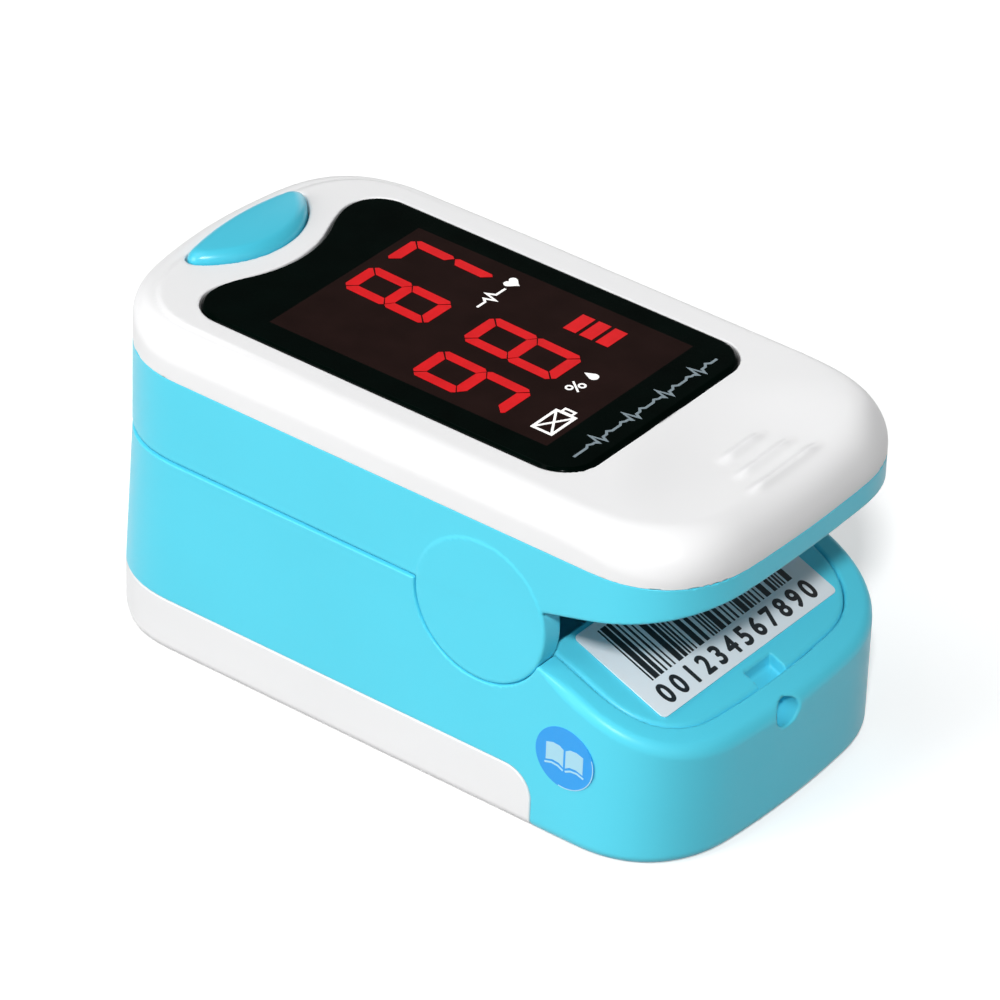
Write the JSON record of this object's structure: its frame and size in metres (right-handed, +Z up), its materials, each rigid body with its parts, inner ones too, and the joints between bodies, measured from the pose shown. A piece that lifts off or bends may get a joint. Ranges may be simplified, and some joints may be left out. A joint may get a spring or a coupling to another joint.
{
  "type": "fingertip pulse oximeter",
  "caption": "Clip-on finger sensor: two spring-hinged plastic jaws with rubber finger pads, a lit number display and key on top, and a slide-off battery cover below.",
  "frame": {"origin": "on the resting plane, under the middle of the closed body", "axes": "+Z up through the display, -X towards the end where the finger goes in, +X towards the two squeeze tails, Y along the hinge pins"},
  "size_m": [0.0586, 0.032, 0.03],
  "materials": {
    "white_plastic": "satin moulded ABS",
    "blue_plastic": "satin moulded ABS",
    "button_plastic": "smooth",
    "lens": "high gloss",
    "display": "smoked resin with lit red bars",
    "pad_rubber": "matte silicone",
    "circuit": "solder mask",
    "chip": "moulded epoxy",
    "window": "clear red filter",
    "label": "printed film",
    "sticker": "printed film",
    "cell_wrap": "printed cell sleeve",
    "flex": "polyimide film",
    "steel": "drawn",
    "nickel": "plated"
  },
  "bodies": {
    "lower_body": {"lower_shell": "blue_plastic", "lower_frame": "blue_plastic", "lower_finger_pad": "pad_rubber", "detector_board": "circuit", "detector_window": "window", "cell_left": "cell_wrap", "cell_right": "cell_wrap", "contact_spring_left": "steel", "contact_spring_right": "steel", "cell_link_plate": "nickel", "terminal_positive": "nickel", "terminal_negative": "nickel", "hinge_pin_left": "steel", "hinge_pin_right": "steel", "torsion_spring_left": "steel", "torsion_spring_right": "steel", "frame_screw_1": "steel", "frame_screw_2": "steel", "frame_screw_3": "steel", "frame_screw_4": "steel", "serial_label": "label", "guide_sticker": "sticker", "jaw_ribbon": "flex"},
    "upper_jaw": {"upper_housing": "blue_plastic", "top_cover": "white_plastic", "upper_finger_pad": "pad_rubber", "emitter_board": "circuit", "emitter_window": "window", "main_board": "circuit", "controller_chip": "chip", "display_module": "display", "display_lens": "lens", "tact_switch": "chip", "board_screw_1": "steel", "board_screw_2": "steel", "board_screw_3": "steel", "board_screw_4": "steel"},
    "button": {"power_button": "button_plastic", "switch_plunger": "white_plastic"},
    "battery_door": {"battery_cover": "white_plastic"}
  },
  "joints": [
    {"name": "jaw_hinge", "type": "hinge", "parent": "lower_body", "child": "upper_jaw", "pos_m": [0.0103, 0, 0.01767], "axis": [0, 1, 0], "range_deg": [0, 25], "stiffness_Nm_per_rad": 0.12, "springref_deg": -45.84, "deforming": ["torsion_spring_left", "torsion_spring_right", "jaw_ribbon"]},
    {"name": "button_press", "type": "slide", "parent": "upper_jaw", "child": "button", "axis": [0, 0, -1], "range_m": [0, 0.0005], "stiffness_N_per_m": 1500, "springref_m": -0.0003},
    {"name": "battery_cover_slide", "type": "slide", "parent": "lower_body", "child": "battery_door", "axis": [-1, 0, 0], "range_m": [0, 0.047]}
  ]
}
